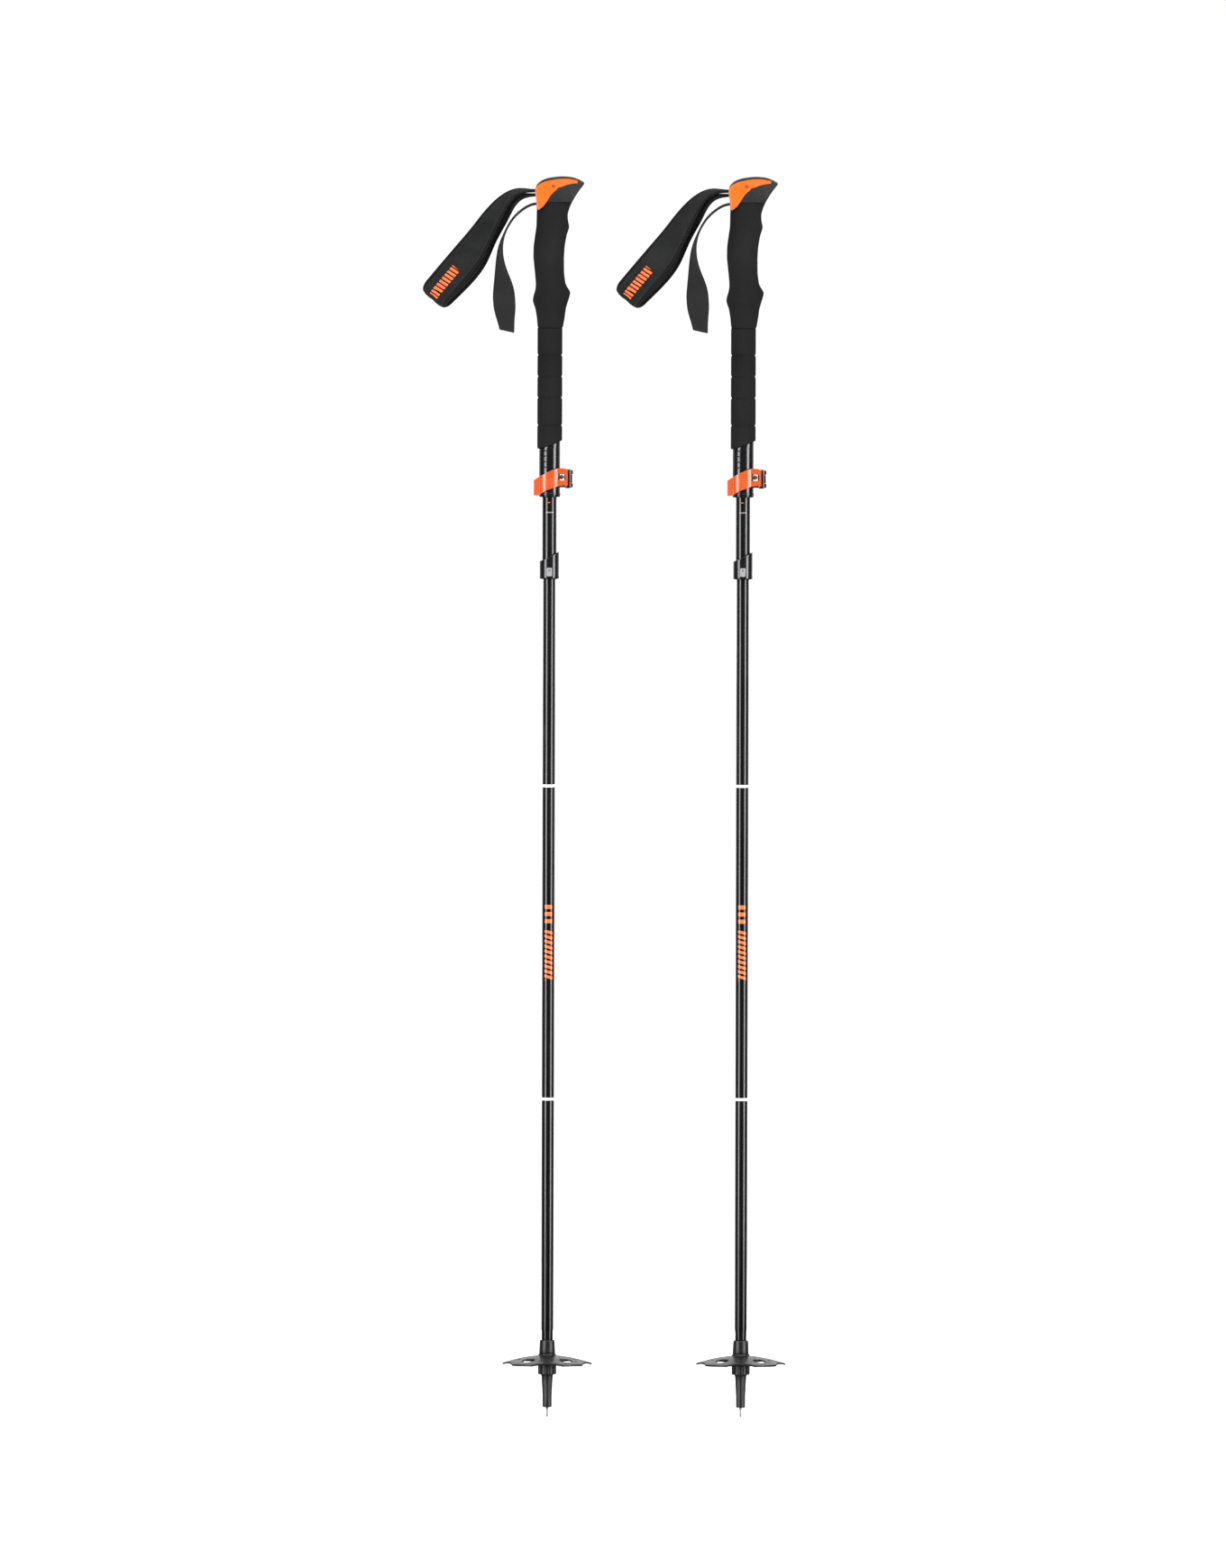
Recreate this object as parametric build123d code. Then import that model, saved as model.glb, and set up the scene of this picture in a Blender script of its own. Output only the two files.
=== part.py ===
from build123d import *
import math
import os

# A pair of folding trekking poles, side by side. Each pole is built about the Z axis with
# every height measured from the point of its carbide tip, then moved so that the origin
# lies in the left pole's grip, where the palm holds it. +X is the way the head's beak
# points, and -Y is the side that the clamp lever and the lock button are on.

# ---- driving dimensions, in millimetres ----
POLE_SPACING = 190.0
HAND_HEIGHT = 1150.0

# three nested tube sizes
HANDLE_TUBE_R, HANDLE_BORE_R = 8.0, 7.3
ADJUST_TUBE_R, ADJUST_BORE_R = 7.0, 6.4
SHAFT_R, SHAFT_BORE_R = 6.0, 5.3
RUNNING_GAP = 0.06

# heights along the pole
TOP = 1219.4
HANDLE_TUBE_TOP, HANDLE_TUBE_END = 1190.0, 912.0
FOAM_TOP, FOAM_STEP = 1195.0, 1070.9
FOAM_END, FOAM_END_TILT = 955.75, 18.4
CLAMP_END = 904.5
ADJUST_TUBE_TOP, ADJUST_TUBE_END = 1100.0, 837.5
COLLAR_END, COLLAR_TOP, COLLAR_TOP_TILT = 823.9, 846.0, 25.1
UPPER_SECTION_TOP = 905.0
UPPER_JOINT, LOWER_JOINT = 621.8, 311.0
JOINT_GAP = 0.1
RING_HEIGHT = 2.7
LOWER_SECTION_END = 40.0
TIP_HOLDER_END = 8.9

# grip
FOAM_R = 12.2
HEAD_HALF_DEPTH = 13.4
STRAP_X, STRAP_HEIGHT = -14.0, 1200.0
STRAP_SLOT_R, STRAP_SLOT_HALF = 8.7, 11.0
STRAP_PIN_X, STRAP_PIN_HEIGHT, STRAP_PIN_R = 2.9, 1210.3, 1.5

# clamp
CLAMP_R = 10.35
LEVER_GAP, LEVER_THICK = 0.5, 2.35
PIVOT_X, PIVOT_Y, PIVOT_PIN_R = 18.0, -1.0, 1.5
EAR_R, EAR_LOW, EAR_HIGH, EAR_THICK = 5.0, 914.0, 931.0, 4.0

# lock
COLLAR_R = 9.5
BUTTON_HEIGHT, BUTTON_HALF_WIDTH, BUTTON_HALF_TALL = 831.0, 2.65, 4.2

# basket and tip
BASKET_R, BASKET_RIM, BASKET_TOP, BASKET_HUB_R = 44.0, 52.7, 62.0, 9.2


# ---- small helpers ----
def rod(radius, low, high, x=0.0, y=0.0):
    """A solid round bar, upright, between two heights."""
    return Pos(x, y, (low + high) / 2) * Cylinder(radius, high - low)


def tube(outer, inner, low, high):
    return rod(outer, low, high) - rod(inner, low, high)


def block(x_low, x_high, y_low, y_high, low, high):
    centre = Pos((x_low + x_high) / 2, (y_low + y_high) / 2, (low + high) / 2)
    return centre * Box(x_high - x_low, y_high - y_low, high - low)


def cross_rod(x, height, radius, half_length):
    """A round bar along Y."""
    return Pos(x, 0, height) * Rot(90, 0, 0) * Cylinder(radius, 2 * half_length)


def side_prism(outline, half_depth):
    """An outline of X and height, as deep as wanted each way along Y."""
    return extrude(Plane.XZ * outline, amount=half_depth, both=True)


def turned(*points):
    """A solid of revolution about the pole's axis, from (radius, height) points."""
    profile = make_face(Polyline(*points, close=True))
    return revolve(Plane.XZ * profile, Axis.Z)


def tilted_cut(height, tilt, above):
    """A large block above or below a plane that rises towards +X."""
    reach = 60.0
    side = reach / 2 if above else -reach / 2
    return Pos(0, 0, height) * Rot(0, -tilt, 0) * Pos(0, 0, side) * Box(90, 90, reach)


# ---- grip ----
def head_envelope():
    """The beaked head before it is divided into body, trim and palm pad."""
    rear_foot, rear_top, beak = (-13.4, 1187.8), (-14.7, 1208.9), (33.6, 1213.0)
    front_foot = (18.6, 1187.8)
    crown = Spline(rear_top, (-8.3, 1215.3), (2.2, 1218.5), (13.7, TOP), (24.5, 1217.7), beak)
    throat = Spline(beak, (28.0, 1205.7), (23.2, 1198.3), front_foot)
    outline = make_face([Line(rear_foot, rear_top), crown, throat, Line(front_foot, rear_foot)])
    return side_prism(outline, 20) & head_section(0.0)


def head_section(inset):
    """The head's cross-section all along X: straight sides that round over to the crown."""
    low, waist, high = 1187.0, 1200.0, TOP + 0.5 - inset
    side, bend, shoulder = HEAD_HALF_DEPTH - inset, 12.0 - inset, 7.5 - 0.8 * inset
    right = Spline(
        (side, waist), (bend, 1210.5 - 0.4 * inset), (shoulder, high), tangents=[(0, 1), (-1, 0.7)]
    )
    left = Spline(
        (-shoulder, high), (-bend, 1210.5 - 0.4 * inset), (-side, waist),
        tangents=[(-1, -0.7), (0, -1)],
    )
    base = Polyline((-side, waist), (-side, low), (side, low), (side, waist))
    section = make_face([right, Line((shoulder, high), (-shoulder, high)), left, base])
    return extrude(Plane.YZ * section, amount=60, both=True)


def trim_region():
    """The side view of the coloured trim, a band that narrows towards the beak."""
    foot, nose = (-11.9, 1187.8), (26.6, 1214.2)
    lower_edge = Spline(
        foot, (-7.2, 1191.6), (-0.4, 1201.7), (5.0, 1207.1), (11.7, 1210.8), (19.2, 1213.2), nose
    )
    nose_top, rear_top = (27.2, 1216.0), (-15.2, 1208.5)
    upper_edge = Spline(nose_top, (13.7, 1218.0), (0.2, 1216.4), (-8.6, 1213.9), rear_top)
    rear = Polyline(rear_top, (-16.5, 1208.0), (-16.5, 1187.0), (-12.5, 1187.0), foot)
    return side_prism(make_face([lower_edge, Line(nose, nose_top), upper_edge, rear]), 16)


def palm_pad_region():
    """The upper layer of the head between the trim's two sides."""
    crown = Spline((-9.5, 1211.6), (2.2, 1215.6), (13.7, 1216.6), (24.0, 1214.8))
    lid = Polyline((24.0, 1214.8), (27.0, 1222.0), (-12.0, 1222.0), (-9.5, 1211.6))
    return side_prism(make_face([crown, lid]), 8.0)


def strap_slot():
    """The rounded mouth in the rear of the head that the strap swings in."""
    return cross_rod(STRAP_X, STRAP_HEIGHT, STRAP_SLOT_R, STRAP_SLOT_HALF)


def wedge_pocket(gap):
    wall = 9.0 + gap
    side = make_face(
        Polyline(
            (-6.6, 1196.2 - gap), (7.0 + gap, 1197.6 - gap), (7.0 + gap, 1204.6 + gap),
            (-6.6, 1206.0 + gap), close=True,
        )
    )
    return side_prism(side, wall)


def grip_head():
    shape = head_envelope() & block(-20, 40, -20, 20, FOAM_TOP, TOP + 2)
    shape += rod(HANDLE_TUBE_R, HANDLE_TUBE_TOP, FOAM_TOP + 1)
    shape += rod(HANDLE_BORE_R, 1176.0, HANDLE_TUBE_TOP)
    shape -= trim_body() + palm_pad() + strap_slot() + wedge_pocket(0.1)
    return shape - cross_rod(STRAP_PIN_X, STRAP_PIN_HEIGHT, STRAP_PIN_R, 14)


def trim_body():
    """Trim before its holes: two side plates joined across the rear of the head."""
    wall = HEAD_HALF_DEPTH - STRAP_SLOT_HALF
    core = head_section(wall) & block(-11.4, 60, -20, 20, 1180, 1225)
    return (head_envelope() & trim_region()) - core - palm_pad_region()


def head_trim():
    holes = strap_slot() + cross_rod(STRAP_PIN_X, STRAP_PIN_HEIGHT, STRAP_PIN_R, 14)
    return trim_body() - holes


def palm_pad():
    return head_envelope() & palm_pad_region()


def strap_wedge():
    return wedge_pocket(0.0) - strap_slot()


def strap_pin():
    return cross_rod(STRAP_PIN_X, STRAP_PIN_HEIGHT, STRAP_PIN_R, 12.2)


def grip_foam():
    """Hand-shaped foam: rear reach, front reach and half depth at each height."""
    sections = [
        (FOAM_STEP, 12.1, 12.7, 12.2),
        (1081.0, 13.0, 14.5, 13.0),
        (1090.0, 14.5, 15.6, 14.0),
        (1097.0, 17.1, 17.7, 15.0),
        (1102.5, 16.2, 19.3, 15.2),
        (1106.0, 15.0, 20.0, 14.8),
        (1110.0, 14.2, 17.3, 14.2),
        (1114.0, 14.0, 15.3, 13.8),
        (1124.0, 14.9, 13.8, 13.4),
        (1140.0, 16.5, 13.7, 13.7),
        (1151.0, 16.4, 14.3, 13.6),
        (1162.0, 14.9, 16.2, 13.3),
        (1170.0, 13.7, 18.7, 13.0),
        (1176.0, 13.5, 17.4, 12.9),
        (1183.0, 13.6, 17.2, 12.9),
        (1189.0, 13.6, 19.0, 13.0),
        (FOAM_TOP, 13.6, 21.6, 13.2),
    ]
    rings = [
        Pos((front - rear) / 2, 0, height) * Ellipse((front + rear) / 2, depth)
        for height, rear, front, depth in sections
    ]
    shape = loft(rings, ruled=True) - rod(HANDLE_TUBE_R, FOAM_STEP - 1, FOAM_TOP + 1)
    return shape - trim_region() - strap_slot()


def grip_extension():
    """Straight foam sleeve for a low hold, with four finger grooves."""
    groove_heights = (975.0, 1002.0, 1023.0, 1044.0)
    groove_depth, groove_width = 0.8, 2.0
    shape = tube(FOAM_R, HANDLE_TUBE_R, FOAM_END - 10, FOAM_STEP)
    for height in groove_heights:
        low, high = height - groove_width / 2, height + groove_width / 2
        shape -= tube(FOAM_R + 1, FOAM_R - groove_depth, low, high)
    return shape - tilted_cut(FOAM_END, FOAM_END_TILT, above=False)


def upper_tube():
    return tube(HANDLE_TUBE_R, HANDLE_BORE_R, HANDLE_TUBE_END, HANDLE_TUBE_TOP)


# ---- strap ----
def band(stations, thickness):
    """A flat strap through (centre, width direction, face direction, width) stations."""
    sections = []
    for centre, across, facing, width in stations:
        along = Vector(*across).cross(Vector(*facing))
        plane = Plane(origin=centre, x_dir=across, z_dir=along)
        sections.append(plane * Rectangle(width, thickness))
    return loft(sections, ruled=True)


def strap_station(x, height, heading, twist, width, offset=0.0, shift=0.0):
    """One station of a strap: heading in the XZ plane, twist from edge-on to face-on."""
    turn, roll = math.radians(heading), math.radians(twist)
    up = Vector(-math.sin(turn), 0, math.cos(turn))
    out = Vector(0, -1, 0)
    facing = up * math.cos(roll) + out * math.sin(roll)
    across = up * math.sin(roll) - out * math.cos(roll)
    centre = Vector(x, 0, height) + facing * offset + across * shift
    return centre, across, facing, width


LOOP_PATH = [
    # x, height, heading below -X, twist, width, half gap between plies, half sideways shift
    (-17.0, 1203.4, 4.0, 0.0, 19.0, 2.2, 0.0),
    (-29.0, 1202.4, 16.0, 10.0, 20.0, 2.8, 0.0),
    (-49.6, 1184.8, 48.0, 44.0, 22.5, 4.4, 0.0),
    (-64.6, 1162.7, 54.0, 70.0, 24.5, 6.4, 0.4),
    (-76.6, 1143.3, 52.0, 84.0, 28.5, 7.6, 2.5),
    (-92.2, 1123.8, 50.2, 90.0, 29.5, 8.2, 3.5),
    (-108.3, 1106.2, 50.2, 90.0, 29.5, 7.4, 2.4),
]


def strap_loop():
    """The padded wrist loop: two plies that leave the slot together and part for the hand."""
    thickness, tip_reach = 3.2, 8.0
    front = [strap_station(*station) for station in LOOP_PATH]
    back = [strap_station(*s[:5], -s[5], -s[6]) for s in LOOP_PATH]
    x, height, heading, twist, width, half_gap, shift = LOOP_PATH[-1]
    turn = math.radians(heading)
    onward = Vector(-math.cos(turn), 0, -math.sin(turn))
    across = Vector(-math.sin(turn), 0, math.cos(turn))
    bend = []
    for degrees in (-60, -30, 0, 30, 60):
        angle = math.radians(degrees)
        reach = onward * (tip_reach * math.cos(angle) + 1.5) - across * shift * math.sin(angle)
        centre = Vector(x, half_gap * math.sin(angle), height) + reach
        facing = onward * math.cos(angle) + Vector(0, math.sin(angle), 0)
        bend.append((centre, across, facing, width))
    back = [(centre, across, facing * -1, width) for centre, across, facing, width in back]
    return band(front + bend + back[::-1], thickness)


def strap_tail():
    """The free end of the webbing, which hangs from the lower lip of the slot."""
    stations = [
        # x, height, heading below -X, twist
        (-16.8, 1192.0, 22.0, 0.0),
        (-28.2, 1186.0, 33.0, 0.0),
        (-35.4, 1179.6, 46.0, 0.0),
        (-40.6, 1172.4, 57.0, 0.0),
        (-45.3, 1162.4, 71.0, 0.0),
        (-48.3, 1150.6, 82.0, 8.0),
        (-49.0, 1138.0, 92.0, 18.0),
        (-47.8, 1123.0, 99.0, 36.0),
        (-46.0, 1110.0, 97.0, 62.0),
        (-45.0, 1097.0, 95.0, 87.0),
        (-43.7, 1082.0, 95.0, 56.0),
        (-42.4, 1067.3, 94.0, 37.0),
    ]
    width, thickness = 22.0, 1.8
    return band([strap_station(*s, width) for s in stations], thickness)


# ---- lever clamp ----
def clamp_body():
    """Split sleeve over the handle tube, with two ears for the lever's pivot."""
    seat = HANDLE_TUBE_END
    shape = rod(CLAMP_R, CLAMP_END, FOAM_END + 8)
    shape -= tilted_cut(FOAM_END - 0.3, FOAM_END_TILT, above=True)
    shape = chamfer(shape.faces().sort_by(Axis.Z)[0].edges(), 0.8)
    for low in (EAR_LOW, EAR_HIGH - EAR_THICK):
        high = low + EAR_THICK
        shape += rod(EAR_R, low, high, PIVOT_X, PIVOT_Y)
        shape += block(5.0, PIVOT_X, PIVOT_Y - 3.5, PIVOT_Y + 3.5, low, high)
    shape += block(5.0, 10.6, -8.0, -3.0, 921.3, 926.9)
    shape -= rod(HANDLE_TUBE_R, seat, FOAM_END + 10)
    shape -= rod(ADJUST_TUBE_R + RUNNING_GAP, CLAMP_END - 1, seat)
    shape -= rod(PIVOT_PIN_R + RUNNING_GAP, EAR_LOW - 1, EAR_HIGH + 1, PIVOT_X, PIVOT_Y)
    split = block(0, 15, 3.2, 5.0, CLAMP_END - 1, 928.0)
    return shape - split - clamp_screw()


def clamp_screw():
    """Tension screw with a slotted head, set in the boss beside the lever's window."""
    y, height = -5.5, 924.2
    axis = Pos(0, y, height) * Rot(0, 90, 0)
    shank = Pos(9.0, 0, 0) * axis * Cylinder(1.3, 3.2)
    head = Pos(11.6, 0, 0) * axis * Cylinder(2.2, 2.0)
    end = Pos(13.4, 0, 0) * axis * Cylinder(1.3, 1.6)
    slot = block(12.0, 15, y - 0.3, y + 0.3, height - 3, height + 3)
    return shank + head + end - slot


def lever_outline():
    """Side view of the lever: a band that climbs from the thumb tab to the pivot."""
    top = Spline(
        (-15.5, 921.3), (-4.0, 928.4), (4.0, 931.9), (11.1, 933.2), (16.4, 932.4), (19.9, 930.6)
    )
    bottom = Spline((19.9, 915.1), (9.3, 915.5), (2.2, 913.3), (-4.0, 910.7), (-9.7, 906.6))
    rest = Polyline((-9.7, 906.6), (-15.5, 906.2), (-15.5, 921.3))
    return side_prism(make_face([top, Line((19.9, 930.6), (19.9, 915.1)), bottom, rest]), 30)


def lever():
    """Cam lever that wraps the front of the clamp and ends in a thumb tab."""
    low, high = 900.0, 940.0
    inner = CLAMP_R + LEVER_GAP
    outer = inner + LEVER_THICK
    start, finish = math.radians(214), math.radians(306)
    far = 30.0
    sector = make_face(
        Polyline(
            (0, 0), (far * math.cos(start), far * math.sin(start)), (-4, -far), (8, -far),
            (far * math.cos(finish), far * math.sin(finish)), close=True,
        )
    )
    arc = tube(outer, inner, low, high)
    arc &= Pos(0, 0, low) * extrude(sector, amount=high - low)
    plate = make_face(Polyline((5.6, -9.35), (19.9, -7.4), (19.9, -9.8), (7.6, -10.75), close=True))
    tab = make_face(Polyline((-9.0, -6.3), (-15.5, -7.4), (-15.7, -9.6), (-9.8, -9.0), close=True))
    body = arc
    for face in (plate, tab):
        body += Pos(0, 0, low) * extrude(face, amount=high - low)
    body &= lever_outline()
    knuckle_low, knuckle_high = EAR_LOW + EAR_THICK + 0.3, EAR_HIGH - EAR_THICK - 0.3
    body += rod(3.6, knuckle_low, knuckle_high, PIVOT_X, PIVOT_Y)
    body += block(16.2, 19.6, -9.0, PIVOT_Y, knuckle_low, knuckle_high)
    body -= rod(PIVOT_PIN_R, knuckle_low - 1, knuckle_high + 1, PIVOT_X, PIVOT_Y)
    return body - block(8.6, 15.8, -14, -6, 921.2, 927.6)


def lever_pin():
    """Pivot pin with a thin head at each end, turning with the lever."""
    head, gap = 0.8, 0.1
    shape = rod(PIVOT_PIN_R, EAR_LOW - gap - head, EAR_HIGH + gap + head, PIVOT_X, PIVOT_Y)
    shape += rod(2.5, EAR_HIGH + gap, EAR_HIGH + gap + head, PIVOT_X, PIVOT_Y)
    return shape + rod(2.5, EAR_LOW - gap - head, EAR_LOW - gap, PIVOT_X, PIVOT_Y)


# ---- length adjuster and snap lock ----
def adjust_tube():
    return tube(ADJUST_TUBE_R, ADJUST_BORE_R, ADJUST_TUBE_END, ADJUST_TUBE_TOP)


def adjust_bush():
    """Plastic guide in the hidden upper end of the adjusting tube."""
    flange, stem = 6.0, 12.0
    shape = rod(HANDLE_BORE_R - RUNNING_GAP, ADJUST_TUBE_TOP, ADJUST_TUBE_TOP + flange)
    shape += rod(ADJUST_BORE_R, ADJUST_TUBE_TOP - stem, ADJUST_TUBE_TOP)
    return shape - rod(2.0, ADJUST_TUBE_TOP - stem - 1, ADJUST_TUBE_TOP + flange + 1)


def button_window(gap):
    half, tall = BUTTON_HALF_WIDTH + gap, BUTTON_HALF_TALL + gap
    return block(-half, half, -13, -5, BUTTON_HEIGHT - tall, BUTTON_HEIGHT + tall)


def lock_collar():
    """Collar on the adjusting tube's end, with the window of the lock button."""
    shape = rod(COLLAR_R, COLLAR_END, COLLAR_TOP + 8)
    shape -= tilted_cut(COLLAR_TOP, COLLAR_TOP_TILT, above=True)
    shape = chamfer(shape.faces().sort_by(Axis.Z)[0].edges(), 1.6)
    shape -= rod(ADJUST_TUBE_R, ADJUST_TUBE_END, COLLAR_TOP + 10)
    shape -= rod(SHAFT_R + RUNNING_GAP, COLLAR_END - 1, ADJUST_TUBE_END)
    notch = block(8.5, 12, -2.2, 2.2, 827.0, 830.4)
    return shape - button_window(0.15) - notch


def lock_button():
    plate = block(
        -BUTTON_HALF_WIDTH, BUTTON_HALF_WIDTH, -10.2, -8.3,
        BUTTON_HEIGHT - BUTTON_HALF_TALL, BUTTON_HEIGHT + BUTTON_HALF_TALL,
    )
    plate = fillet(plate.edges().filter_by(Axis.Y), 0.9)
    return plate - Pos(0, -10.2, BUTTON_HEIGHT + 1.6) * Rot(90, 0, 0) * Cylinder(1.05, 2.0)


def lock_spring():
    """Bent leaf inside the shaft, with the catch that stands in the collar's window."""
    half, low, high = 1.8, 800.0, 838.0
    spring = block(-half, half, -4.9, -4.3, low, high)
    spring += block(-half, half, 4.3, 4.9, low, high)
    spring += block(-half, half, -4.9, 4.9, low - 0.6, low)
    return spring + block(-1.7, 1.7, -8.1, -4.3, BUTTON_HEIGHT - 2.6, BUTTON_HEIGHT + 2.6)


# ---- folding shaft ----
def upper_section_tube():
    shape = tube(SHAFT_R, SHAFT_BORE_R, UPPER_JOINT + JOINT_GAP / 2, UPPER_SECTION_TOP)
    return shape - block(-1.9, 1.9, -9, -3, BUTTON_HEIGHT - 2.8, BUTTON_HEIGHT + 2.8)


def stop_bush():
    """Stop in the top of the upper section, where the tension cord is anchored."""
    flange, stem = 4.0, 12.0
    shape = rod(ADJUST_BORE_R - RUNNING_GAP, UPPER_SECTION_TOP, UPPER_SECTION_TOP + flange)
    shape += rod(SHAFT_BORE_R, UPPER_SECTION_TOP - stem, UPPER_SECTION_TOP)
    return shape - rod(1.6, UPPER_SECTION_TOP - stem - 1, UPPER_SECTION_TOP + flange + 1)


def middle_section_tube():
    low = LOWER_JOINT + JOINT_GAP / 2 + RING_HEIGHT
    high = UPPER_JOINT - JOINT_GAP / 2 - RING_HEIGHT
    return tube(SHAFT_R, SHAFT_BORE_R, low, high)


def joint_rings():
    """The two light rings that end the middle section."""
    ring_r = SHAFT_R + 0.1
    high = UPPER_JOINT - JOINT_GAP / 2
    low = LOWER_JOINT + JOINT_GAP / 2
    upper = tube(ring_r, 5.2, high - RING_HEIGHT, high)
    lower = tube(ring_r, 5.2, low, low + RING_HEIGHT)
    return Compound(children=[upper, lower])


def spigot():
    """Bullet-nosed plug, upright, with its shoulder face at height 0."""
    stem_end, cord_hole = -RING_HEIGHT - 14.0, 1.6
    return turned(
        (cord_hole, stem_end), (SHAFT_BORE_R, stem_end), (SHAFT_BORE_R, -RING_HEIGHT),
        (5.2, -RING_HEIGHT), (5.2, 0), (5.1, 0), (4.95, 1.5), (4.6, 3.4), (3.7, 5.6),
        (2.5, 7.2), (2.2, 7.5), (cord_hole, 7.5),
    )


def joint_spigots():
    upper = Pos(0, 0, UPPER_JOINT - JOINT_GAP / 2) * spigot()
    lower = Pos(0, 0, LOWER_JOINT + JOINT_GAP / 2) * Rot(180, 0, 0) * spigot()
    return Compound(children=[upper, lower])


def joint_cord(height):
    """The stretch of tension cord that bridges one folding joint."""
    return rod(1.4, height - 26, height + 64)


def lower_section_tube():
    """Last section, necked a little where the tip holder begins."""
    high = LOWER_JOINT - JOINT_GAP / 2
    low = 75.4
    outer = turned(
        (0, LOWER_SECTION_END), (SHAFT_BORE_R + 0.1, LOWER_SECTION_END), (SHAFT_BORE_R + 0.1, low),
        (5.6, low), (5.6, 83.0), (SHAFT_R, 86.0), (SHAFT_R, high), (0, high),
    )
    return outer - rod(4.6, LOWER_SECTION_END - 1, 88.0) - rod(SHAFT_BORE_R, 88.0, high + 1)


# ---- basket and tip ----
def tip_ferrule():
    """Plastic tip holder: a round land for a rubber foot, a cone, and the basket's seat."""
    shape = turned(
        (0, TIP_HOLDER_END), (4.3, TIP_HOLDER_END), (4.6, TIP_HOLDER_END + 0.4), (4.6, 20.4),
        (5.65, 40.7), (6.6, 42.0), (6.6, 62.0), (7.9, 62.0), (7.3, 75.2), (0, 75.2),
    )
    shape -= rod(SHAFT_BORE_R + 0.1, LOWER_SECTION_END, 80.0)
    return shape - rod(1.6, TIP_HOLDER_END - 1, 22.0)


def basket():
    """Shallow dish with five windows, small holes and a scalloped rim, on a screw-on hub."""
    bore, plate, edge = 6.6, 1.8, 1.9
    # inner and outer curves of the dish, as (radius, height)
    rise = BASKET_TOP - BASKET_RIM - plate
    outline = Spline(
        (BASKET_HUB_R, BASKET_RIM + rise), (26.0, BASKET_RIM + 0.66 * rise), (BASKET_R, BASKET_RIM)
    )
    under = Spline(
        (BASKET_R, BASKET_RIM - edge), (26.0, BASKET_RIM + 0.66 * rise - plate),
        (BASKET_HUB_R, BASKET_RIM + rise - plate),
    )
    profile = make_face(
        [
            outline, Line((BASKET_R, BASKET_RIM), (BASKET_R, BASKET_RIM - edge)), under,
            Line((BASKET_HUB_R, BASKET_RIM + rise - plate), (BASKET_HUB_R, BASKET_RIM + rise)),
        ]
    )
    # the revolved seam is turned to solid material, between a window and a scallop
    dish = Rot(0, 0, 32) * revolve(Plane.XZ * profile, Axis.Z)
    low, high = BASKET_RIM - 6, BASKET_RIM + 12
    window = SlotArc(CenterArc((0, 0), 31.0, -2.0, 4.0), 11.0)
    for sector in range(5):
        turn = Rot(0, 0, sector * 72 + 18)
        dish -= turn * Pos(0, 0, low) * extrude(window, amount=high - low)
        dish -= turn * Rot(0, 0, 36) * rod(60.0, low, high, BASKET_R + 55.5)
        for spread in (-8.0, 8.0):
            dish -= turn * Rot(0, 0, 36 + spread) * rod(1.6, low, high, 30.5)
    hub = turned(
        (bore, 41.6), (9.2, 41.6), (9.2, 50.6), (10.4, 51.6), (10.6, 57.0), (8.3, BASKET_TOP),
        (bore, BASKET_TOP),
    )
    return dish + hub


def carbide_tip():
    """Hard flute-ended point, pressed into the tip holder."""
    shape = turned((0, 0.0), (0.5, 0.0), (1.0, 1.2), (1.0, 7.0), (1.6, 8.9), (1.6, 22.0), (0, 22.0))
    return shape - Pos(0, 0, -0.35) * Sphere(0.7)


# ---- the whole set ----
def pole_parts():
    return {
        "grip_head": grip_head(),
        "head_trim": head_trim(),
        "palm_pad": palm_pad(),
        "strap_wedge": strap_wedge(),
        "strap_pin": strap_pin(),
        "grip_foam": grip_foam(),
        "grip_extension": grip_extension(),
        "upper_tube": upper_tube(),
        "clamp_body": clamp_body(),
        "clamp_screw": clamp_screw(),
        "strap_loop": strap_loop(),
        "strap_tail": strap_tail(),
        "lever": lever(),
        "lever_pin": lever_pin(),
        "adjust_tube": adjust_tube(),
        "adjust_bush": adjust_bush(),
        "lock_collar": lock_collar(),
        "lock_button": lock_button(),
        "lock_spring": lock_spring(),
        "upper_section_tube": upper_section_tube(),
        "stop_bush": stop_bush(),
        "upper_joint_cord": joint_cord(UPPER_JOINT),
        "middle_section_tube": middle_section_tube(),
        "joint_spigots": joint_spigots(),
        "joint_rings": joint_rings(),
        "lower_joint_cord": joint_cord(LOWER_JOINT),
        "lower_section_tube": lower_section_tube(),
        "tip_ferrule": tip_ferrule(),
        "basket": basket(),
        "carbide_tip": carbide_tip(),
    }


def main():
    os.makedirs("parts", exist_ok=True)
    for name, shape in pole_parts().items():
        for side, x in (("left", 0.0), ("right", POLE_SPACING)):
            export_step(Pos(x, 0, -HAND_HEIGHT) * shape, f"parts/{side}_{name}.step")


main()
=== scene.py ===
import math

import bpy
import numpy as np
from mathutils import Matrix, Vector
from mathutils.bvhtree import BVHTree


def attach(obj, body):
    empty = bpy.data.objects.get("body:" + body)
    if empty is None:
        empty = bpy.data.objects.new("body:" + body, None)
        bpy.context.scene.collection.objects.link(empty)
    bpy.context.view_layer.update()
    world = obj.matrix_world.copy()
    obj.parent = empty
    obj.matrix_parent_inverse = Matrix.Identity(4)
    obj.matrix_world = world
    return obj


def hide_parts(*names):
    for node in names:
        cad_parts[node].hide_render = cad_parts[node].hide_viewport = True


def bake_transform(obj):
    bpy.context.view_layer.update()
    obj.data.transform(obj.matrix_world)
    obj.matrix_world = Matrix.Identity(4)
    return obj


# Two folding trekking poles. Every mesh is made once, for the left pole, in millimetres:
# x from the pole's axis, y, and the height above the carbide tip. pair() then turns it
# into one piece on each pole, in metres and in the CAD's frame.

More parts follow.
